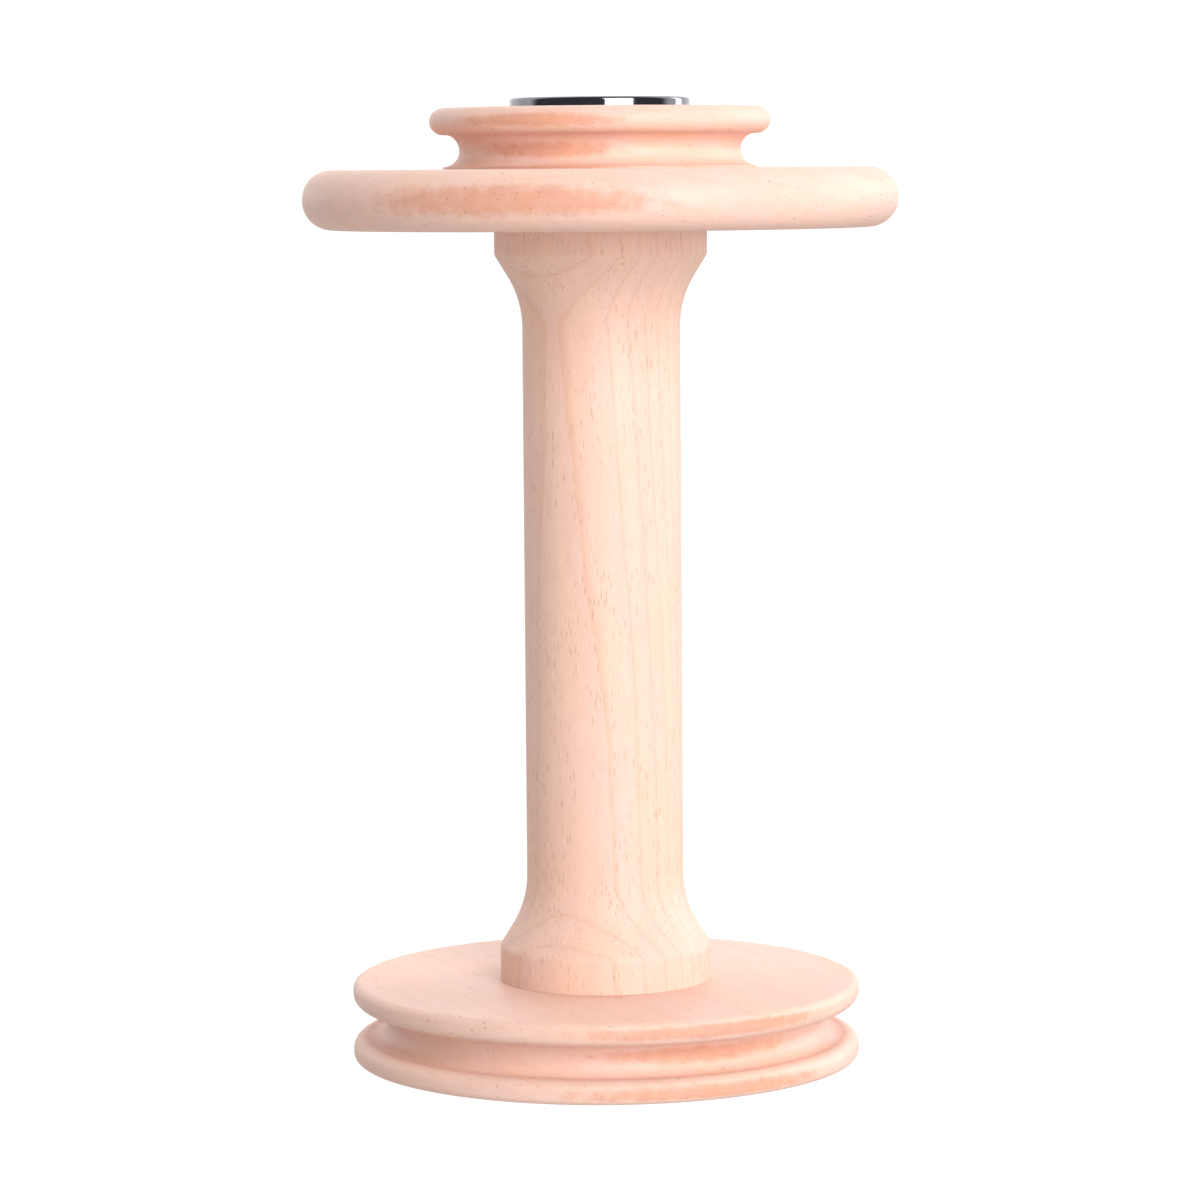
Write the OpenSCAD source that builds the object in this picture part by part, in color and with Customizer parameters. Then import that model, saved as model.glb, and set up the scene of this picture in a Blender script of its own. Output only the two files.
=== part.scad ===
// Spinning wheel bobbin: a turned wooden core between two discs, with drive band grooves at both
// ends, running on two sealed ball bearings that are pressed in from outside.
// Units are millimetres. The axis is Z and the lower bearing's outer face is at z = 0.

/* [Winding space] */
// Clear length between the two discs
winding_length = 133.7; // [90:0.1:170]
// Diameter of the straight barrel
barrel_d = 27.9; // [22:0.1:34]

/* [Core ends] */
// Diameter of the collars that seat against the discs
collar_d = 37.6; // [36:0.1:48]
// Height of the cylindrical collar under the top flange
top_collar_h = 4.6; // [2:0.1:8]
// Height of the cylindrical collar on the large whorl
bottom_collar_h = 6.1; // [2:0.1:8]
// Angle of the short cone next to a collar, from the axis
flare_angle = 31.7; // [15:0.1:45]
// Radius of the cove between cone and barrel
cove_r = 17.5; // [8:0.1:30]
// How far a cove is cut into the lines that it joins
cove_bite = 0.02; // [0.005:0.005:0.05]
// Diameter of the shaft passage through the core
passage_d = 15; // [13:0.1:18]
// Gap between a tenon's end and the bearing seat
tenon_end_gap = 0.8; // [0.4:0.1:1.5]
// Glue gap round a tenon
glue_gap = 0.05; // [0:0.01:0.1]
// Bevel on a tenon's end and on the mouths of the passage
tenon_bevel = 0.6; // [0.3:0.1:1]

/* [Top flange] */
// Diameter of the plain flange
flange_d = 105; // [80:0.5:130]
// Thickness of the plain flange
flange_t = 10.5; // [8:0.1:13]
// How much the edge radius exceeds half the thickness
flange_edge_extra = 0.1; // [0.05:0.01:0.4]

/* [Small whorl] */
// Diameter over the small whorl's lip
small_lip_d = 60; // [54:0.1:76]
// Height of the small whorl above the flange
small_h = 10.7; // [10:0.1:14]
// Radius of its drive band groove
small_groove_r = 2.85; // [2:0.05:3]
// Radius of its rounded lip
small_nose_r = 2.35; // [2:0.05:3]

/* [Large whorl] */
// Diameter over the large whorl's lips
large_lip_d = 90.4; // [72:0.1:110]
// Thickness of the large whorl
large_t = 14.1; // [13:0.1:18]
// Radius of its drive band groove
large_groove_r = 3; // [2.5:0.05:4]
// Depth of the groove below the lips
large_groove_depth = 6.2; // [5:0.1:8]
// Rounding of the lips towards the groove
large_lip_r = 2.1; // [1.5:0.05:2.3]
// Rounding of the outer edges of the lips
large_edge_r = 1.4; // [0.5:0.1:1.5]

/* [Bearings] */
// Bore for the flyer shaft
bearing_bore = 12; // [10:0.1:13]
// Outside diameter
bearing_od = 32; // [30:0.1:40]
// Width
bearing_w = 10; // [9.5:0.1:14]
// Depth of a bearing's seat in the wood
seat_depth = 8.3; // [7:0.1:9]
// Gap round a bearing in its seat
seat_gap = 0.01; // [0:0.01:0.05]
// Bevel round the mouth of a bearing's seat
seat_bevel = 0.4; // [0.2:0.1:0.8]
// Width of the wooden ledge under the outer ring
seat_ledge = 3.5; // [2.2:0.1:4]
// Ball diameter
ball_d = 5.953; // [5:0.001:6.4]
// Number of balls
ball_count = 7; // [6:1:8]
// How much a raceway's groove radius exceeds the ball's
raceway_ease = 0.1235; // [0.05:0.0005:0.5]
// Depth of a raceway below the shoulders of its ring
raceway_depth = 1.1265; // [0.7:0.0005:1.4]
// Clearance between a ball and the bottom of a raceway
ball_gap = 0.05; // [0.02:0.01:0.1]
// Edge bevel of the rings
ring_bevel = 0.5; // [0.2:0.05:0.7]

/* [Cages and seals] */
// Sheet thickness of the ribbon cage
cage_t = 0.5; // [0.3:0.05:0.6]
// Radial width of the ribbon
cage_w = 2.5; // [2:0.1:2.8]
// Clearance between a ball and its pocket
pocket_gap = 0.08; // [0.04:0.01:0.2]
// Rivet shank diameter
rivet_d = 1; // [0.8:0.05:1.2]
// Rivet head diameter
rivet_head_d = 1.3; // [1.1:0.05:1.6]
// Rivet head height
rivet_head_h = 0.3; // [0.2:0.05:0.4]
// Clearance between a rivet shank and its hole
rivet_gap = 0.02; // [0.01:0.01:0.05]
// Seal thickness
seal_t = 0.8; // [0.6:0.05:0.9]
// Depth of a seal below the ring face
seal_inset = 0.25; // [0.15:0.05:0.4]
// Clearance between the sealing lip and the inner ring
seal_lip_gap = 0.06; // [0.02:0.01:0.1]
// Depth of the seal seat cut into the outer ring's shoulder
seal_seat = 1; // [0.6:0.1:1.4]
// Clearance between a seal and its seat
seal_seat_gap = 0.02; // [0:0.01:0.05]

/* [Hidden] */
$fn = 128;
// A cut runs this far past the face that it opens
cut = 1;
// Neighbouring rounds cross by this much where they run into each other
blend = 0.03;

// Heights along the axis, from the lower bearing's outer face upwards
proud = bearing_w - seat_depth;
large_z = proud;
winding_z0 = large_z + large_t;
winding_z1 = winding_z0 + winding_length;
small_z = winding_z1 + flange_t;
small_top = small_z + small_h;
top_seat_z = small_top - seat_depth;
bottom_seat_z = large_z + seat_depth;

// The core's radii and the tangent points of its coves
bore_r = passage_d / 2;
barrel_r = barrel_d / 2;
collar_r = collar_d / 2;
tenon_r = bearing_od / 2 - seat_ledge;
tenon_hole_r = tenon_r + glue_gap;
// A full cove turns from the barrel's line to the cone's, a shallow one stops at the collar
cove_turn = min(flare_angle, acos(1 - (collar_r - barrel_r) / cove_r));
cove_h = cove_r * sin(cove_turn);
cove_top_r = barrel_r + cove_r * (1 - cos(cove_turn));
cone_h = (collar_r - cove_top_r) / tan(cove_turn);
flare_h = cone_h + cove_h;

// Ring radii
od_r = bearing_od / 2;
inner_bore_r = bearing_bore / 2;
pitch_r = (od_r + inner_bore_r) / 2;
ball_r = ball_d / 2;
raceway_r = ball_r + raceway_ease;
outer_race_r = pitch_r + ball_r + ball_gap;
inner_race_r = pitch_r - ball_r - ball_gap;
outer_shoulder_r = outer_race_r - raceway_depth;
inner_shoulder_r = inner_race_r + raceway_depth;
seal_seat_r = outer_shoulder_r + seal_seat;
seal_lip_r = inner_shoulder_r + seal_lip_gap;
race_z = bearing_w / 2;
pocket_r = ball_r + pocket_gap;
cage_r0 = pitch_r - cage_w / 2;
cage_r1 = pitch_r + cage_w / 2;
ball_step = 360 / ball_count;

wood = [0.90, 0.72, 0.61];
end_wood = [0.93, 0.76, 0.66];
steel = [0.42, 0.42, 0.45];
bright_steel = [0.72, 0.73, 0.75];
black_rubber = [0.06, 0.06, 0.07];

// Outline of one core end from its collar to the middle of the barrel, going away from the disc
function core_end(seat_z, collar_h, way) = [
  [collar_r, seat_z],
  [collar_r, seat_z + way * collar_h],
  if (cone_h > cove_bite) [cove_top_r, seat_z + way * (collar_h + cone_h)],
  [barrel_r, seat_z + way * (collar_h + flare_h)]
];

// Points of a list from last to first
function turned(list) = [for (i = [len(list) - 1 : -1 : 0]) list[i]];

// Circle that cuts the cove of one core end
module cove_cutter(seat_z, collar_h, way) {
  translate([barrel_r + cove_r - cove_bite, seat_z + way * (collar_h + flare_h)])
    circle(r = cove_r);
}

// Outline of one tenon's bevelled end, from the passage outwards, ending on the tenon's side
function tenon_end(end_z, way) = [
  [bore_r, end_z + way * tenon_bevel],
  [bore_r + tenon_bevel, end_z],
  [tenon_r - tenon_bevel, end_z],
  [tenon_r, end_z + way * tenon_bevel]
];

module core() {
  outline = concat(
    tenon_end(bottom_seat_z + tenon_end_gap, 1),
    [[tenon_r, winding_z0]],
    core_end(winding_z0, bottom_collar_h, 1),
    turned(core_end(winding_z1, top_collar_h, -1)),
    [[tenon_r, winding_z1]],
    turned(tenon_end(top_seat_z - tenon_end_gap, -1))
  );
  color(wood)
    rotate_extrude()
      difference() {
        polygon(outline);
        cove_cutter(winding_z0, bottom_collar_h, 1);
        cove_cutter(winding_z1, top_collar_h, -1);
      }
}

// Disc with a full-round edge and a hole that fits the core's tenon
module top_flange() {
  edge_r = flange_t / 2 + flange_edge_extra;
  rim_r = flange_d / 2;
  color(end_wood)
    translate([0, 0, winding_z1])
      rotate_extrude()
        intersection() {
          translate([tenon_hole_r, 0])
            square([rim_r - tenon_hole_r + cut, flange_t]);
          union() {
            translate([0, -cut])
              square([rim_r - edge_r, flange_t + 2 * cut]);
            translate([rim_r - edge_r, flange_t / 2])
              circle(r = edge_r);
          }
        }
}

// Hole for the tenon and the bearing's seat, as the profile that is cut from a whorl;
// the seat opens at mouth_z and goes in the direction of way
module hub_cutter(mouth_z, way, height) {
  seat_r = od_r + seat_gap;
  seat_z = mouth_z + way * seat_depth;
  mouth_r = seat_r + seat_bevel;
  translate([0, -cut])
    square([tenon_hole_r, height + 2 * cut]);
  polygon([
    [0, seat_z], [seat_r, seat_z], [seat_r, mouth_z + way * seat_bevel],
    [mouth_r, mouth_z], [mouth_r, mouth_z - way * cut], [0, mouth_z - way * cut]
  ]);
}

module small_whorl() {
  nose_r = small_nose_r;
  nose_x = small_lip_d / 2 - nose_r;
  // The nose stands a little above the face, so that the face cuts it
  nose_z = small_h - nose_r + blend;
  groove_z = nose_z - nose_r - small_groove_r + 2 * blend;
  color(end_wood)
    translate([0, 0, small_z])
      rotate_extrude()
        difference() {
          union() {
            square([nose_x, small_h]);
            intersection() {
              square([nose_x + nose_r + cut, small_h]);
              translate([nose_x, nose_z])
                circle(r = nose_r);
            }
          }
          translate([nose_x - blend, groove_z])
            circle(r = small_groove_r);
          hub_cutter(small_h, -1, small_h);
        }
}

// Outline of the large whorl without its groove, with rounded outer edges
module large_envelope(rim_r) {
  a = large_edge_r;
  // The rounds stand a little outside the faces, so that the faces cut them
  out = blend / 2;
  intersection() {
    square([rim_r, large_t]);
    union() {
      square([rim_r - a, large_t]);
      translate([0, a])
        square([rim_r, large_t - 2 * a]);
      for (z = [a - out, large_t - a + out])
        translate([rim_r - a + out, z])
          circle(r = a);
    }
  }
}

module large_whorl() {
  rim_r = large_lip_d / 2;
  groove_x = rim_r - large_groove_depth + large_groove_r;
  // Centre of the upper lip's rounding, which runs into the groove where the two circles meet
  round_x = rim_r - large_lip_r + blend;
  reach = large_groove_r + large_lip_r - blend;
  round_z = large_t / 2 + sqrt(reach * reach - pow(round_x - groove_x, 2));
  meet_x = groove_x + large_groove_r * (round_x - groove_x) / reach;
  color(end_wood)
    translate([0, 0, large_z])
      rotate_extrude()
        difference() {
          intersection() {
            large_envelope(rim_r);
            union() {
              square([meet_x, large_t]);
              for (z = [round_z, large_t - round_z])
                translate([round_x, z])
                  circle(r = large_lip_r);
              translate([0, round_z])
                square([rim_r, large_t - round_z]);
              square([rim_r, large_t - round_z]);
            }
          }
          translate([groove_x, large_t / 2])
            circle(r = large_groove_r);
          hub_cutter(0, 1, large_t);
        }
}

// A bearing is drawn with its inboard face at z = 0 and its outboard face at z = bearing_w
module at_top() {
  translate([0, 0, top_seat_z])
    children();
}

module at_bottom() {
  translate([0, 0, bearing_w])
    mirror([0, 0, 1])
      children();
}

module outer_ring() {
  b = ring_bevel;
  step = seal_inset + seal_t;
  color(steel)
    rotate_extrude()
      difference() {
        polygon([
          [outer_shoulder_r, step], [seal_seat_r, step], [seal_seat_r, 0],
          [od_r - b, 0], [od_r, b], [od_r, bearing_w - b], [od_r - b, bearing_w],
          [seal_seat_r, bearing_w], [seal_seat_r, bearing_w - step],
          [outer_shoulder_r, bearing_w - step]
        ]);
        translate([outer_race_r - raceway_r, race_z])
          circle(r = raceway_r);
      }
}

module inner_ring() {
  b = ring_bevel;
  color(bright_steel)
    rotate_extrude()
      difference() {
        polygon([
          [inner_bore_r, b], [inner_bore_r + b, 0], [inner_shoulder_r, 0],
          [inner_shoulder_r, bearing_w], [inner_bore_r + b, bearing_w],
          [inner_bore_r, bearing_w - b]
        ]);
        translate([inner_race_r + raceway_r, race_z])
          circle(r = raceway_r);
      }
}

module balls() {
  color(bright_steel)
    for (i = [0 : ball_count - 1])
      rotate(i * ball_step)
        translate([pitch_r, 0, race_z])
          sphere(r = ball_r);
}

// Radial half cylinders round the balls, from which the pockets of a cage half are made
module pocket_forms(radius, from_r, to_r) {
  for (i = [0 : ball_count - 1])
    rotate(i * ball_step)
      translate([from_r, 0, 0])
        rotate([0, 90, 0])
          cylinder(r = radius, h = to_r - from_r);
}

// Half of the ribbon cage, above the plane of the balls
module cage_half() {
  reach = pocket_r + cage_t;
  translate([0, 0, race_z])
    difference() {
      intersection() {
        union() {
          cylinder(r = cage_r1 + cut, h = cage_t);
          pocket_forms(reach, cage_r0 - cut, cage_r1 + cut);
        }
        rotate_extrude()
          translate([cage_r0, 0])
            square([cage_w, reach + cut]);
      }
      pocket_forms(pocket_r, cage_r0 - 2 * cut, cage_r1 + 2 * cut);
      rivet_places()
        translate([0, 0, -cut])
          cylinder(d = rivet_d + 2 * rivet_gap, h = cage_t + 2 * cut);
    }
}

// Places of the rivets, midway between the balls
module rivet_places() {
  for (i = [0 : ball_count - 1])
    rotate((i + 0.5) * ball_step)
      translate([pitch_r, 0, 0])
        children();
}

module cage_outboard_half() {
  color(bright_steel)
    cage_half();
}

module cage_inboard_half() {
  color(bright_steel)
    translate([0, 0, bearing_w])
      mirror([0, 0, 1])
        cage_half();
}

module cage_rivets() {
  head_r = rivet_head_d / 2;
  reach = cage_t + rivet_head_h;
  color(steel)
    translate([0, 0, race_z])
      rivet_places()
        rotate_extrude()
          polygon([
            [0, -reach], [head_r, -reach], [head_r, -cage_t], [rivet_d / 2, -cage_t],
            [rivet_d / 2, cage_t], [head_r, cage_t], [head_r, reach], [0, reach]
          ]);
}

// Rubber-covered steel washer with a thin lip on the inner ring
module seal() {
  lip_t = seal_t / 2;
  lip_w = 3 * lip_t;
  color(black_rubber)
    translate([0, 0, bearing_w - seal_inset - seal_t])
      rotate_extrude()
        polygon([
          [seal_lip_r, seal_t - lip_t], [seal_lip_r + lip_w, 0],
          [seal_seat_r - seal_seat_gap, 0], [seal_seat_r - seal_seat_gap, seal_t],
          [seal_lip_r, seal_t]
        ]);
}

module seal_outboard() {
  seal();
}

module seal_inboard() {
  translate([0, 0, bearing_w])
    mirror([0, 0, 1])
      seal();
}

module top_outer_ring() { at_top() outer_ring(); }
module top_inner_ring() { at_top() inner_ring(); }
module top_balls() { at_top() balls(); }
module top_cage_outboard_half() { at_top() cage_outboard_half(); }
module top_cage_inboard_half() { at_top() cage_inboard_half(); }
module top_cage_rivets() { at_top() cage_rivets(); }
module top_seal_outboard() { at_top() seal_outboard(); }
module top_seal_inboard() { at_top() seal_inboard(); }

module bottom_outer_ring() { at_bottom() outer_ring(); }
module bottom_inner_ring() { at_bottom() inner_ring(); }
module bottom_balls() { at_bottom() balls(); }
module bottom_cage_outboard_half() { at_bottom() cage_outboard_half(); }
module bottom_cage_inboard_half() { at_bottom() cage_inboard_half(); }
module bottom_cage_rivets() { at_bottom() cage_rivets(); }
module bottom_seal_outboard() { at_bottom() seal_outboard(); }
module bottom_seal_inboard() { at_bottom() seal_inboard(); }

core();
top_flange();
small_whorl();
large_whorl();
top_outer_ring();
top_inner_ring();
top_balls();
top_cage_outboard_half();
top_cage_inboard_half();
top_cage_rivets();
top_seal_outboard();
top_seal_inboard();
bottom_outer_ring();
bottom_inner_ring();
bottom_balls();
bottom_cage_outboard_half();
bottom_cage_inboard_half();
bottom_cage_rivets();
bottom_seal_outboard();
bottom_seal_inboard();
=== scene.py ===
import math

import bmesh
import bpy
from mathutils import Matrix, Vector


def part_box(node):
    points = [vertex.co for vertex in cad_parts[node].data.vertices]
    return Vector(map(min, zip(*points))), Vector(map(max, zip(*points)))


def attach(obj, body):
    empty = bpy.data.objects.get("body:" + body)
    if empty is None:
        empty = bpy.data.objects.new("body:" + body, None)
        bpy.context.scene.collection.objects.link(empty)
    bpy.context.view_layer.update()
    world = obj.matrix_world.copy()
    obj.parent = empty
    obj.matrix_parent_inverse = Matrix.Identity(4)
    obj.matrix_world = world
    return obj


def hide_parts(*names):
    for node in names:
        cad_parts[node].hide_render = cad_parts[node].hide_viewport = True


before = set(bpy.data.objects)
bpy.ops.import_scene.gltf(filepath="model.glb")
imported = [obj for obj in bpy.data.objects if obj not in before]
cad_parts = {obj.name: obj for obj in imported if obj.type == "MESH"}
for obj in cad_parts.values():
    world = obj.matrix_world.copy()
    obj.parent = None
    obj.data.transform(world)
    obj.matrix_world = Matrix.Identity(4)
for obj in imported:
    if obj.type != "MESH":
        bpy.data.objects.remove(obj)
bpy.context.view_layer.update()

MM = 0.001
scene = bpy.context.scene


def heights(node):
    """Lowest and highest z of a CAD node, in millimetres."""
    low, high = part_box(node)
    return low[2] / MM, high[2] / MM


# Heights along the axis in millimetres, from the frame
WHORL_Z0, WHORL_Z1 = heights("large_whorl")
FLANGE_Z0, FLANGE_Z1 = heights("top_flange")
TOP_Z = heights("small_whorl")[1]
TOP_SEAT_Z = heights("top_outer_ring")[0]
BEARING_W = BOTTOM_SEAT_Z = heights("bottom_outer_ring")[1]

# Camera in millimetres and degrees, fitted to the outline of the object
CAMERA_DISTANCE = 792.3
CAMERA_HEIGHT = 160.0
CAMERA_SIDE = -0.557
CAMERA_TILT = 5.506
CAMERA_ROLL = -0.424
LENS = 134.346

# Light levels, where 1 is white, and lamp powers in watts
SEEN_WHITE = 1.1
DARK_ROOM = 0.15
BACKDROP = 1.5
FLOOR_LIGHT = 0.67
KEY_POWER = 30.0
SIDE_POWER = 6.0
LAMP_DISTANCE = 1.5
LAMP_TARGET = Vector((0, 0, 0.09))
FLOOR_HALF = 6.0
FLOOR_Z = -0.00005


def link(obj):
    scene.collection.objects.link(obj)
    return obj


def add_camera():
    data = bpy.data.cameras.new("camera")
    data.lens = LENS
    data.sensor_width = 36
    data.clip_start = 0.01
    data.clip_end = 50
    camera = link(bpy.data.objects.new("camera", data))
    tilt = Matrix.Rotation(math.radians(90 - CAMERA_TILT), 4, "X")
    roll = Matrix.Rotation(math.radians(CAMERA_ROLL), 4, "Z")
    place = Matrix.Translation(Vector((CAMERA_SIDE, -CAMERA_DISTANCE, CAMERA_HEIGHT)) * MM)
    camera.matrix_world = place @ tilt @ roll
    scene.camera = camera


def add_softbox(name, azimuth, elevation, width_deg, height_deg, power):
    """A rectangular lamp that faces the object and fills the given angles as seen from it."""
    a, e = math.radians(azimuth), math.radians(elevation)
    way = Vector((math.sin(a) * math.cos(e), -math.cos(a) * math.cos(e), math.sin(e)))
    data = bpy.data.lights.new(name, "AREA")
    data.shape = "RECTANGLE"
    data.size = 2 * LAMP_DISTANCE * math.tan(math.radians(width_deg / 2))
    data.size_y = 2 * LAMP_DISTANCE * math.tan(math.radians(height_deg / 2))
    data.energy = power
    light = link(bpy.data.objects.new(name, data))
    turn = way.to_track_quat("Z", "Y").to_matrix().to_4x4()
    light.matrix_world = Matrix.Translation(LAMP_TARGET + way * LAMP_DISTANCE) @ turn


def white_background(nt):
    node = nt.nodes.new("ShaderNodeBackground")
    node.inputs["Color"].default_value = (1, 1, 1, 1)
    return node


def add_world():
    """White to the camera. To the object, a bright backdrop behind it and a dim room elsewhere."""
    world = bpy.data.worlds.new("studio")
    world.use_nodes = True
    nt = world.node_tree
    nt.nodes.clear()
    seen = white_background(nt)
    seen.inputs["Strength"].default_value = SEEN_WHITE
    room = white_background(nt)
    coords = nt.nodes.new("ShaderNodeTexCoord")
    split = nt.nodes.new("ShaderNodeSeparateXYZ")
    nt.links.new(coords.outputs["Generated"], split.inputs[0])
    span = nt.nodes.new("ShaderNodeMapRange")
    span.interpolation_type = "SMOOTHSTEP"
    span.inputs["From Min"].default_value = -0.1
    span.inputs["From Max"].default_value = 0.2
    span.inputs["To Min"].default_value = DARK_ROOM
    span.inputs["To Max"].default_value = BACKDROP
    nt.links.new(split.outputs["Y"], span.inputs["Value"])
    nt.links.new(span.outputs["Result"], room.inputs["Strength"])
    path = nt.nodes.new("ShaderNodeLightPath")
    mix = nt.nodes.new("ShaderNodeMixShader")
    nt.links.new(path.outputs["Is Camera Ray"], mix.inputs[0])
    nt.links.new(room.outputs[0], mix.inputs[1])
    nt.links.new(seen.outputs[0], mix.inputs[2])
    out = nt.nodes.new("ShaderNodeOutputWorld")
    nt.links.new(mix.outputs[0], out.inputs[0])
    scene.world = world


def add_floor():
    """Plain pale floor that lights the object from below and looks white."""
    mesh = bpy.data.meshes.new("floor")
    s = FLOOR_HALF
    corners = [(-s, -s, FLOOR_Z), (s, -s, FLOOR_Z), (s, s, FLOOR_Z), (-s, s, FLOOR_Z)]
    mesh.from_pydata(corners, [], [(0, 1, 2, 3)])
    floor = link(bpy.data.objects.new("floor", mesh))
    mat = bpy.data.materials.new("pale_floor")
    mat.use_nodes = True
    nt = mat.node_tree
    nt.nodes.clear()
    out = nt.nodes.new("ShaderNodeOutputMaterial")
    glow = nt.nodes.new("ShaderNodeEmission")
    glow.inputs["Color"].default_value = (1, 1, 1, 1)
    path = nt.nodes.new("ShaderNodeLightPath")
    span = nt.nodes.new("ShaderNodeMapRange")
    span.inputs["To Min"].default_value = FLOOR_LIGHT
    span.inputs["To Max"].default_value = SEEN_WHITE
    nt.links.new(path.outputs["Is Camera Ray"], span.inputs["Value"])
    nt.links.new(span.outputs["Result"], glow.inputs["Strength"])
    nt.links.new(glow.outputs[0], out.inputs[0])
    mesh.materials.append(mat)


class Graph:
    """A short way to write shader nodes: sockets go in, sockets come out."""

    def __init__(self, name):
        self.mat = bpy.data.materials.new(name)
        self.mat.use_nodes = True
        self.nt = self.mat.node_tree
        self.nt.nodes.clear()
        self.out = self.nt.nodes.new("ShaderNodeOutputMaterial")
        self.shader = self.nt.nodes.new("ShaderNodeBsdfPrincipled")
        self.nt.links.new(self.shader.outputs[0], self.out.inputs["Surface"])

    def node(self, kind, **settings):
        n = self.nt.nodes.new(kind)
        for key, value in settings.items():
            setattr(n, key, value)
        return n

    def put(self, socket, value):
        if isinstance(value, bpy.types.NodeSocket):
            self.nt.links.new(value, socket)
        elif isinstance(value, tuple) and len(value) == 3 and socket.type == "RGBA":
            socket.default_value = (*value, 1)
        else:
            socket.default_value = value

    def math(self, op, a, b=0.0):
        n = self.node("ShaderNodeMath", operation=op)
        self.put(n.inputs[0], a)
        self.put(n.inputs[1], b)
        return n.outputs[0]

    def vec(self, op, a, b):
        n = self.node("ShaderNodeVectorMath", operation=op)
        self.put(n.inputs[0], a)
        self.put(n.inputs["Scale" if op == "SCALE" else 1], b)
        return n.outputs["Value" if op == "DOT_PRODUCT" else "Vector"]

    def xyz(self, v):
        n = self.node("ShaderNodeSeparateXYZ")
        self.put(n.inputs[0], v)
        return n.outputs[0], n.outputs[1], n.outputs[2]

    def join(self, x, y, z):
        n = self.node("ShaderNodeCombineXYZ")
        for socket, value in zip(n.inputs, (x, y, z)):
            self.put(socket, value)
        return n.outputs[0]

    def noise(self, v, detail, rough, scale=1.0):
        n = self.node("ShaderNodeTexNoise")
        self.put(n.inputs["Vector"], v)
        self.put(n.inputs["Scale"], scale)
        self.put(n.inputs["Detail"], detail)
        self.put(n.inputs["Roughness"], rough)
        return n.outputs["Fac"]

    def grain(self, q, across, along, detail, rough):
        """Noise stretched along the fibres, with its frequencies per millimetre."""
        return self.noise(self.vec("MULTIPLY", q, (across, across, along)), detail, rough)

    def cells(self, v):
        n = self.node("ShaderNodeTexVoronoi", feature="F1")
        self.put(n.inputs["Vector"], v)
        self.put(n.inputs["Scale"], 1.0)
        return n.outputs["Distance"], n.outputs["Color"]

    def span(self, value, a, b, c=0.0, d=1.0, smooth=True):
        n = self.node("ShaderNodeMapRange", interpolation_type="SMOOTHSTEP" if smooth else "LINEAR")
        inputs = {"Value": value, "From Min": a, "From Max": b, "To Min": c, "To Max": d}
        for key, entry in inputs.items():
            self.put(n.inputs[key], entry)
        return n.outputs["Result"]

    def mix(self, fac, a, b, blend="MIX"):
        n = self.node("ShaderNodeMix", data_type="RGBA", blend_type=blend)
        self.put(n.inputs["Factor"], fac)
        self.put(n.inputs[6], a)
        self.put(n.inputs[7], b)
        return n.outputs[2]

    def bump(self, height, depth_mm):
        n = self.node("ShaderNodeBump")
        self.put(n.inputs["Height"], height)
        self.put(n.inputs["Distance"], depth_mm * MM)
        self.put(n.inputs["Strength"], 1.0)
        return n.outputs[0]

    def place(self):
        """Object coordinates in millimetres."""
        return self.vec("SCALE", self.node("ShaderNodeTexCoord").outputs["Object"], 1 / MM)


def fibre_frame(g, p, fibre):
    """The place p, measured across and along the fibres, and the direction of the fibres."""
    along = Vector(fibre).normalized()
    across = Vector((0, 0, 1)).cross(along) if abs(along.z) < 0.9 else Vector((1, 0, 0))
    across.normalize()
    axes = (across, along.cross(across), along)
    return g.join(*(g.vec("DOT_PRODUCT", p, tuple(axis)) for axis in axes)), along


def dashes(g, q, across, along, size, share):
    """Short dashes along the fibres, 1 inside and 0 outside, in a share of the cells."""
    distance, color = g.cells(g.vec("MULTIPLY", q, (across, across, along)))
    pick, length, _ = g.xyz(color)
    reach = g.math("MULTIPLY", size, g.span(length, 0, 1, 0.55, 1.25, False))
    inside = g.math("SUBTRACT", 1.0, g.span(g.math("DIVIDE", distance, reach), 0.5, 1.0))
    return g.math("MULTIPLY", inside, g.math("LESS_THAN", pick, share))


def growth_layers(g, q, ring, width):
    """Shares of early and late wood. Each layer is as wide as given, in millimetres."""
    wander = g.math("SUBTRACT", g.grain(q, 0.09, 0.012, 3.0, 0.55), 0.5)
    level = g.math("ADD", ring(g, *g.xyz(q)), g.math("MULTIPLY", wander, 1.6))
    phase = g.math("FRACT", g.math("DIVIDE", level, width))
    late = g.math("MULTIPLY", g.span(phase, 0.80, 0.985), g.span(phase, 1.0, 0.985))
    return g.span(phase, 0.35, 0.0), late


def add_end_grain(g, col, along, blotch):
    """End grain, where the surface cuts across the fibres, is darker and more orange."""
    normal = g.node("ShaderNodeNewGeometry").outputs["Normal"]
    facing = g.math("ABSOLUTE", g.vec("DOT_PRODUCT", normal, tuple(along)))
    ragged = g.math("MULTIPLY", g.math("SUBTRACT", blotch, 0.5), END_GRAIN["ragged"])
    end = g.span(g.math("ADD", facing, ragged), END_GRAIN["from"], END_GRAIN["to"])
    return g.mix(end, col, g.mix(1.0, col, END_GRAIN["tint"], "MULTIPLY"))


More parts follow.
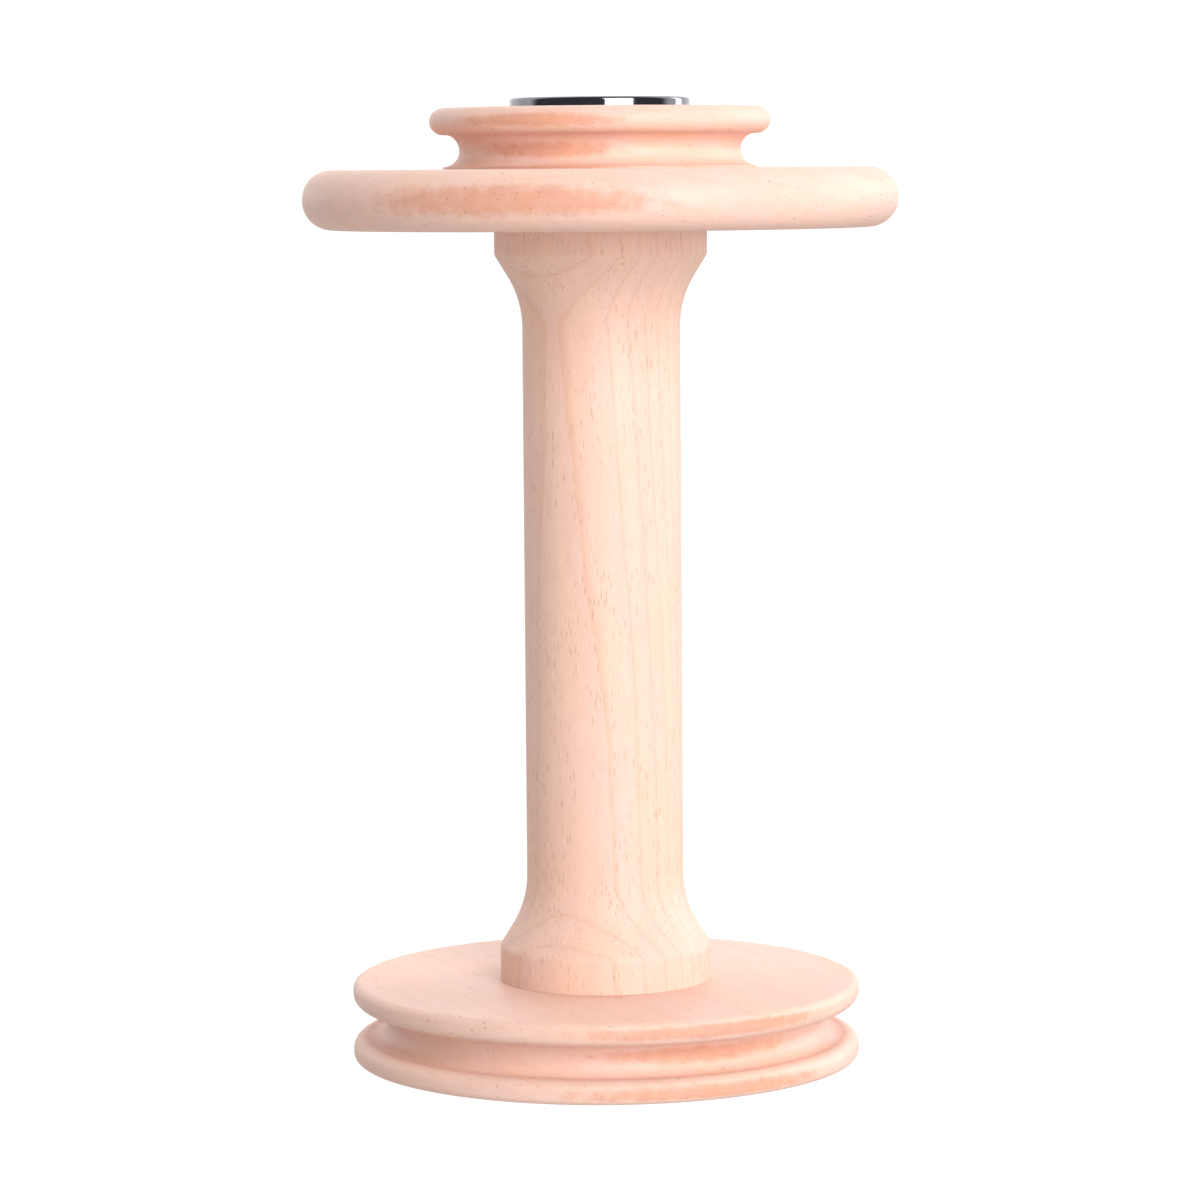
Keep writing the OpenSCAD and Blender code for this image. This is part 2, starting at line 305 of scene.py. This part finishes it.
def wood_material(name, fibre, base, fleck, ring, ring_width, rough, end_grain):
    """Turned pale wood with its fibres along the direction given."""
    g = Graph(name)
    q, along = fibre_frame(g, g.place(), fibre)
    early, late = growth_layers(g, q, ring, ring_width)
    broad = g.grain(q, 0.11, 0.035, 2.0, 0.5)
    blotch = g.grain(q, 0.45, 0.12, 3.0, 0.6)
    streak = g.grain(q, 3.2, 0.28, 4.0, 0.65)
    fuzz = g.grain(q, 7.5, 1.1, 2.0, 0.6)
    grouped = g.span(g.grain(q, 0.16, 0.05, 2.0, 0.5), 0.35, 0.65, 0.25, 1.0)
    pore = g.math("MULTIPLY", dashes(g, q, **fleck["dark"]), grouped)
    pale = g.math("MULTIPLY", dashes(g, g.vec("ADD", q, PALE_SHIFT), **fleck["pale"]), grouped)

    col = g.mix(g.span(broad, 0.3, 0.7), base["warm"], base["pink"])
    col = g.mix(g.math("MULTIPLY", g.span(blotch, 0.35, 0.75), base["blotch"]), col, base["tan"])
    col = g.mix(g.math("MULTIPLY", early, base["early_share"]), col, base["early"])
    col = g.mix(g.math("MULTIPLY", late, base["late_share"]), col, base["late"])
    shade = g.span(streak, 0.25, 0.75, 1.0 - base["streak"], 1.0 + base["streak"], False)
    col = g.mix(1.0, col, shade, "MULTIPLY")
    col = g.mix(g.math("MULTIPLY", pore, fleck["dark_share"]), col, base["pore"])
    col = g.mix(g.math("MULTIPLY", pale, fleck["pale_share"]), col, base["pale"])
    if end_grain:
        col = add_end_grain(g, col, along, blotch)

    g.put(g.shader.inputs["Base Color"], col)
    gloss = g.span(streak, 0.2, 0.8, rough - 0.07, rough + 0.07, False)
    g.put(g.shader.inputs["Roughness"], gloss)
    g.shader.inputs["Specular IOR Level"].default_value = 0.35
    relief = g.math("ADD", g.math("MULTIPLY", streak, 0.5), g.math("MULTIPLY", fuzz, 0.35))
    relief = g.math("SUBTRACT", relief, g.math("MULTIPLY", pore, 0.7))
    relief = g.math("ADD", relief, g.math("MULTIPLY", pale, 0.5))
    g.put(g.shader.inputs["Normal"], g.bump(relief, fleck["relief"]))
    return g.mat


def core_ring(g, x, y, z):
    """Growth layers of the core. They are bent, lean along the axis and turn with height."""
    turn = g.math("RADIANS", g.span(z, 60, 148, -27, -42, False))
    sine, cosine = g.math("SINE", turn), g.math("COSINE", turn)
    u = g.math("SUBTRACT", g.math("MULTIPLY", x, sine), g.math("MULTIPLY", y, cosine))
    v = g.math("ADD", g.math("MULTIPLY", x, cosine), g.math("MULTIPLY", y, sine))
    bend = g.math("DIVIDE", g.math("MULTIPLY", v, v), 90.0)
    lean = g.math("MULTIPLY", g.math("SUBTRACT", 69.2, z), 0.0163)
    return g.math("ADD", g.math("ADD", u, bend), lean)


def board_ring(depth, side):
    """Growth layers of a board, round a pith at the given depth and side in millimetres."""
    def field(g, x, y, z):
        a = g.math("SUBTRACT", x, side)
        b = g.math("SUBTRACT", y, depth)
        return g.math("SQRT", g.math("ADD", g.math("MULTIPLY", a, a), g.math("MULTIPLY", b, b)))
    return field


def direction(azimuth):
    """Level direction, from the camera's side of the object toward +X."""
    a = math.radians(azimuth)
    return (math.sin(a), -math.cos(a), 0)


def metal_material(name, color, rough, relief):
    """Turned metal with faint tool marks and smears."""
    g = Graph(name)
    p = g.place()
    x, y, z = g.xyz(p)
    radius = g.math("SQRT", g.math("ADD", g.math("MULTIPLY", x, x), g.math("MULTIPLY", y, y)))
    marks = g.join(g.math("MULTIPLY", radius, 9.0), 0.0, g.math("MULTIPLY", z, 9.0))
    turned = g.noise(marks, 3.0, 0.6)
    smear = g.noise(g.vec("MULTIPLY", p, (0.35, 0.35, 0.6)), 3.0, 0.6)
    g.shader.inputs["Metallic"].default_value = 1.0
    dull = tuple(c * 0.82 for c in color)
    g.put(g.shader.inputs["Base Color"], g.mix(g.span(smear, 0.3, 0.75), color, dull))
    gloss = g.span(turned, 0.3, 0.7, rough * 0.8, rough * 1.2, False)
    haze = g.span(smear, 0.55, 0.8, 0.0, rough * 0.8)
    g.put(g.shader.inputs["Roughness"], g.math("ADD", gloss, haze))
    g.put(g.shader.inputs["Normal"], g.bump(turned, relief))
    return g.mat


def rubber_material():
    """Black seal rubber with a little dust."""
    g = Graph("seal_rubber")
    p = g.place()
    fine = g.noise(p, 4.0, 0.7, 5.0)
    dust = g.math("MULTIPLY", g.span(g.noise(p, 4.0, 0.6, 0.6), 0.5, 0.8), 0.5)
    g.put(g.shader.inputs["Base Color"], g.mix(dust, (0.018, 0.018, 0.02), (0.07, 0.065, 0.06)))
    g.put(g.shader.inputs["Roughness"], g.span(fine, 0.3, 0.7, 0.45, 0.62, False))
    g.put(g.shader.inputs["Normal"], g.bump(fine, 0.02))
    return g.mat


# Wood colours are linear. A share says how strongly a colour shows
CORE_COLORS = {
    "warm": (0.84, 0.555, 0.425), "pink": (0.83, 0.555, 0.465),
    "tan": (0.78, 0.50, 0.385), "blotch": 0.45,
    "early": (0.78, 0.52, 0.45), "early_share": 0.45,
    "late": (0.74, 0.43, 0.30), "late_share": 0.5,
    "pore": (0.50, 0.29, 0.21), "pale": (0.93, 0.72, 0.60), "streak": 0.035,
}
DISC_COLORS = {
    "warm": (0.83, 0.54, 0.42), "pink": (0.82, 0.55, 0.47),
    "tan": (0.78, 0.49, 0.38), "blotch": 0.5,
    "early": (0.80, 0.53, 0.46), "early_share": 0.4,
    "late": (0.76, 0.46, 0.35), "late_share": 0.35,
    "pore": (0.45, 0.26, 0.20), "pale": (0.92, 0.70, 0.60), "streak": 0.03,
}
# Cells per millimetre across and along the fibres, dash size in cells, and share of cells
CORE_FLECK = {
    "dark": {"across": 2.4, "along": 0.42, "size": 0.42, "share": 0.45}, "dark_share": 0.5,
    "pale": {"across": 2.2, "along": 0.40, "size": 0.40, "share": 0.35}, "pale_share": 0.35,
    "relief": 0.05,
}
DISC_FLECK = {
    "dark": {"across": 1.3, "along": 0.16, "size": 0.30, "share": 0.30}, "dark_share": 0.5,
    "pale": {"across": 2.0, "along": 0.35, "size": 0.35, "share": 0.2}, "pale_share": 0.3,
    "relief": 0.03,
}
PALE_SHIFT = (37.3, 11.9, 5.1)
END_GRAIN = {"from": 0.80, "to": 0.98, "ragged": 0.22, "tint": (0.87, 0.68, 0.59)}


def disc_wood(name, azimuth, ring, ring_width):
    """Wood of a disc whose fibres run level toward the azimuth given."""
    return wood_material(name, direction(azimuth), DISC_COLORS, DISC_FLECK, ring, ring_width, 0.46, True)


def rounded(corners, step):
    """Closed outline (r, z, sharp) whose corners (r, z, fillet) are rounded by arcs."""
    points = []
    for i, (r, z, fillet) in enumerate(corners):
        if fillet <= 0:
            points.append((r, z, True))
            continue
        here = Vector((r, z))
        to_last = (Vector(corners[i - 1][:2]) - here).normalized()
        to_next = (Vector(corners[(i + 1) % len(corners)][:2]) - here).normalized()
        half = to_last.angle(to_next) / 2
        reach = fillet / math.tan(half)
        centre = here + (to_last + to_next).normalized() * (fillet / math.sin(half))
        a = here + to_last * reach - centre
        turn = a.angle_signed(here + to_next * reach - centre)
        count = max(2, math.ceil(abs(math.degrees(turn)) / step))
        start = math.atan2(a.y, a.x)
        for k in range(count + 1):
            t = start - turn * k / count
            points.append((centre.x + fillet * math.cos(t), centre.y + fillet * math.sin(t), False))
    return points


def arc(centre_r, centre_z, radius, start, end, step=6.0):
    """Outline points along an arc, from start to end in degrees."""
    count = max(2, math.ceil(abs(end - start) / step))
    points = []
    for k in range(count + 1):
        t = math.radians(start + (end - start) * k / count)
        points.append((centre_r + radius * math.cos(t), centre_z + radius * math.sin(t), False))
    return points


def revolve(name, outline, segments, material):
    """Closed outline (r, z, sharp) in millimetres, turned about Z."""
    bm = bmesh.new()
    turns = [2 * math.pi * k / segments for k in range(segments)]
    rings = [
        [bm.verts.new((r * math.cos(a) * MM, r * math.sin(a) * MM, z * MM)) for a in turns]
        for r, z, _ in outline
    ]
    for i, ring in enumerate(rings):
        other = rings[(i + 1) % len(rings)]
        for k in range(segments):
            m = (k + 1) % segments
            bm.faces.new((ring[k], ring[m], other[m], other[k]))
    bmesh.ops.recalc_face_normals(bm, faces=bm.faces)
    for face in bm.faces:
        face.smooth = True
    for ring, (_, _, sharp) in zip(rings, outline):
        for k in range(segments if sharp else 0):
            bm.edges.get((ring[k], ring[(k + 1) % segments])).smooth = False
    mesh = bpy.data.meshes.new(name)
    bm.to_mesh(mesh)
    bm.free()
    mesh.materials.append(material)
    return link(bpy.data.objects.new(name, mesh))


def stand_for(piece, node, body="bobbin"):
    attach(piece, body)
    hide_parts(node)


# Turned wood in millimetres
TENON_R = 12.5
TENON_HOLE_R = 12.55
TENON_GAP = 0.8
TENON_EASE = 0.4
PASSAGE_R = 7.5
SEAT_R = 16.01
SEAT_BEVEL = 0.4
BARREL_R = 13.95
COLLAR_R = 18.8
LOW_COLLAR_H = 6.1
LOW_COLLAR_EASE = 2.2
TOP_COLLAR_H = 4.6
TOP_COLLAR_EASE = 2.0
GLUE_EDGE = 0.12
CONE_ANGLE = 31.7
COVE_R = 17.5
FLANGE_R = 52.5
FLANGE_EDGE_R = 5.2
FLANGE_HOLE_EASE = 0.1
SMALL_R = 30.0
NOSE_R = 2.35
SMALL_GROOVE_R = 2.85
GROOVE_BITE = 0.09
GROOVE_INSET = 0.03
LARGE_R = 45.2
LARGE_EDGE_R = 1.4
LIP_R = 2.1
LARGE_GROOVE_R = 3.0
LARGE_GROOVE_X = 42.0


def turned_core():
    """Spindle: a tenon, collar and cone at each end of a straight barrel."""
    cone_h = (COLLAR_R - BARREL_R) / math.tan(math.radians(CONE_ANGLE))
    low_end, top_end = BOTTOM_SEAT_Z + TENON_GAP, TOP_SEAT_Z - TENON_GAP
    low_collar, top_collar = WHORL_Z1 + LOW_COLLAR_H, FLANGE_Z0 - TOP_COLLAR_H
    outline = rounded([
        (PASSAGE_R, low_end, TENON_EASE), (TENON_R, low_end, TENON_EASE),
        (TENON_R, WHORL_Z1, 0), (COLLAR_R, WHORL_Z1, GLUE_EDGE),
        (COLLAR_R, low_collar, LOW_COLLAR_EASE), (BARREL_R, low_collar + cone_h, COVE_R),
        (BARREL_R, top_collar - cone_h, COVE_R), (COLLAR_R, top_collar, TOP_COLLAR_EASE),
        (COLLAR_R, FLANGE_Z0, GLUE_EDGE), (TENON_R, FLANGE_Z0, 0),
        (TENON_R, top_end, TENON_EASE), (PASSAGE_R, top_end, TENON_EASE),
    ], 2.0)
    wood = wood_material("core_wood", (0, 0, 1), CORE_COLORS, CORE_FLECK, core_ring, 2.6, 0.5, False)
    stand_for(revolve("turned_core", outline, 256, wood), "core")


def plain_flange():
    """Plain disc with a full-round edge."""
    outline = rounded([
        (TENON_HOLE_R, FLANGE_Z0, FLANGE_HOLE_EASE), (FLANGE_R, FLANGE_Z0, FLANGE_EDGE_R),
        (FLANGE_R, FLANGE_Z1, FLANGE_EDGE_R), (TENON_HOLE_R, FLANGE_Z1, FLANGE_HOLE_EASE),
    ], 4.0)
    wood = disc_wood("flange_wood", -18, board_ring(70, 8), 2.4)
    stand_for(revolve("plain_flange", outline, 384, wood), "top_flange")


def small_whorl():
    """Small pulley: a round groove under a round nose, and a seat for the bearing."""
    nose_x, nose_z = SMALL_R - NOSE_R, TOP_Z - NOSE_R
    groove_x, groove_z = nose_x - GROOVE_INSET, nose_z - NOSE_R - SMALL_GROOVE_R + GROOVE_BITE
    foot = [
        (TENON_HOLE_R, FLANGE_Z1, True), (groove_x, FLANGE_Z1, True),
        (groove_x, groove_z - SMALL_GROOVE_R, True),
    ]
    seat = [
        (SEAT_R + SEAT_BEVEL, TOP_Z, True), (SEAT_R, TOP_Z - SEAT_BEVEL, True),
        (SEAT_R, TOP_SEAT_Z, True), (TENON_HOLE_R, TOP_SEAT_Z, True),
    ]
    groove = arc(groove_x, groove_z, SMALL_GROOVE_R, 270, 90, 5)
    nose = arc(nose_x, nose_z, NOSE_R, -90, 90, 5)
    wood = disc_wood("small_whorl_wood", -22, board_ring(-52, -6), 2.2)
    piece = revolve("small_grooved_whorl", foot + groove + nose + seat, 320, wood)
    stand_for(piece, "small_whorl")


def large_whorl():
    """Large pulley: one round groove that runs smoothly into a rounded lip on each side."""
    mid_z = (WHORL_Z0 + WHORL_Z1) / 2
    lip_x = LARGE_R - LIP_R
    edge_x = LARGE_R - LARGE_EDGE_R
    shift = lip_x - LARGE_GROOVE_X
    lip_dz = math.sqrt((LIP_R + LARGE_GROOVE_R) ** 2 - shift ** 2)
    lean = math.degrees(math.atan2(lip_dz, shift))
    seat = [
        (TENON_HOLE_R, BOTTOM_SEAT_Z, True), (SEAT_R, BOTTOM_SEAT_Z, True),
        (SEAT_R, WHORL_Z0 + SEAT_BEVEL, True), (SEAT_R + SEAT_BEVEL, WHORL_Z0, True),
    ]
    outline = (
        seat
        + arc(edge_x, WHORL_Z0 + LARGE_EDGE_R, LARGE_EDGE_R, -90, 0, 10)
        + arc(lip_x, mid_z - lip_dz, LIP_R, 0, 180 - lean)
        + arc(LARGE_GROOVE_X, mid_z, LARGE_GROOVE_R, -lean, lean - 360)[1:-1]
        + arc(lip_x, mid_z + lip_dz, LIP_R, lean - 180, 0)
        + arc(edge_x, WHORL_Z1 - LARGE_EDGE_R, LARGE_EDGE_R, 0, 90, 10)
        + [(TENON_HOLE_R, WHORL_Z1, True)]
    )
    wood = disc_wood("large_whorl_wood", 24, board_ring(80, 14), 2.7)
    stand_for(revolve("large_grooved_whorl", outline, 512, wood), "large_whorl")


# Ball bearing in millimetres. A width is measured from the face that seats in the wood
BEARING_R = 16.0
BORE_R = 6.0
RING_EASE = 0.55
BORE_EASE = 0.5
SHOULDER_R = 12.9
SEAL_SEAT_R = 13.9
SEAL_SEAT_W = 1.05
SEAL_SEAT_EASE = 0.08
INNER_SHOULDER_R = 9.1
INNER_EASE = 0.15
PITCH_R = 11.0
RACEWAY_R = 3.1
RACE_SHIFT = 0.0735
SEAL_W0, SEAL_W1 = 0.8, 0.25
SEAL_STEP = 0.22


def outer_ring():
    raceway_x = PITCH_R - RACE_SHIFT
    opening = math.degrees(math.acos((SHOULDER_R - raceway_x) / RACEWAY_R))
    top_seat = BEARING_W - SEAL_SEAT_W
    return rounded([
        (SHOULDER_R, SEAL_SEAT_W, 0), (SEAL_SEAT_R, SEAL_SEAT_W, 0),
        (SEAL_SEAT_R, 0, SEAL_SEAT_EASE), (BEARING_R, 0, RING_EASE),
        (BEARING_R, BEARING_W, RING_EASE), (SEAL_SEAT_R, BEARING_W, SEAL_SEAT_EASE),
        (SEAL_SEAT_R, top_seat, 0), (SHOULDER_R, top_seat, 0),
    ], 7.5) + arc(raceway_x, BEARING_W / 2, RACEWAY_R, opening, -opening)


def inner_ring():
    raceway_x = PITCH_R + RACE_SHIFT
    opening = math.degrees(math.acos((raceway_x - INNER_SHOULDER_R) / RACEWAY_R))
    return rounded([
        (INNER_SHOULDER_R, 0, INNER_EASE), (BORE_R, 0, BORE_EASE),
        (BORE_R, BEARING_W, BORE_EASE), (INNER_SHOULDER_R, BEARING_W, INNER_EASE),
    ], 7.5) + arc(raceway_x, BEARING_W / 2, RACEWAY_R, 180 - opening, 180 + opening)


def moulded_seal():
    """Seal with a lip at the inner ring, a sunk web and a bead in the outer ring's seat."""
    top = BEARING_W - SEAL_W1
    web, back = top - SEAL_STEP, top - SEAL_W0
    return rounded([
        (9.17, top - 0.4, 0.05), (9.17, top, 0.12), (9.75, top, 0.12), (10.0, web, 0.12),
        (12.75, web, 0.12), (13.05, top, 0.15), (13.87, top, 0.15), (13.87, back, 0.05),
        (10.3, back, 0.05),
    ], 15)


def bearing(end, seat_z, way, finishes):
    """One bearing. seat_z is the face that seats in the wood and way points out of the wood."""
    rows = (
        ("polished_outer_ring", outer_ring(), 256, "ring_steel", "outer_ring", "bobbin"),
        ("polished_inner_ring", inner_ring(), 192, "ring_steel", "inner_ring", end + "_inner_race"),
        ("moulded_seal", moulded_seal(), 192, "seal_rubber", "seal_outboard", "bobbin"),
    )
    for name, outline, segments, slot, node, body in rows:
        placed = [(r, seat_z + way * z, sharp) for r, z, sharp in outline]
        piece = revolve(end + "_" + name, placed, segments, finishes[slot])
        stand_for(piece, end + "_" + node, body)


def finish_cad_nodes(end, finishes):
    """Give the bearing's inner CAD pieces their materials."""
    inner = {
        "balls": "ball_steel", "cage_outboard_half": "cage_steel",
        "cage_inboard_half": "cage_steel", "cage_rivets": "cage_steel",
        "seal_inboard": "seal_rubber",
    }
    for node, slot in inner.items():
        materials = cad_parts[end + "_" + node].data.materials
        materials.clear()
        materials.append(finishes[slot])


scene.view_settings.view_transform = "Standard"
scene.view_settings.look = "None"
scene.view_settings.exposure = 0
scene.view_settings.gamma = 1
add_camera()
add_world()
add_floor()
add_softbox("key_light", 25, 17, 36, 45, KEY_POWER)
add_softbox("side_light", 120, 10, 15, 45, SIDE_POWER)

turned_core()
plain_flange()
small_whorl()
large_whorl()

bearing_finishes = {
    "ring_steel": metal_material("ring_steel", (0.20, 0.19, 0.215), 0.07, 0.0015),
    "ball_steel": metal_material("ball_steel", (0.74, 0.74, 0.76), 0.08, 0.0015),
    "cage_steel": metal_material("cage_steel", (0.56, 0.54, 0.50), 0.32, 0.006),
    "seal_rubber": rubber_material(),
}
for end, seat_z, way in (("top", TOP_SEAT_Z, 1), ("bottom", BOTTOM_SEAT_Z, -1)):
    bearing(end, seat_z, way, bearing_finishes)
    finish_cad_nodes(end, bearing_finishes)
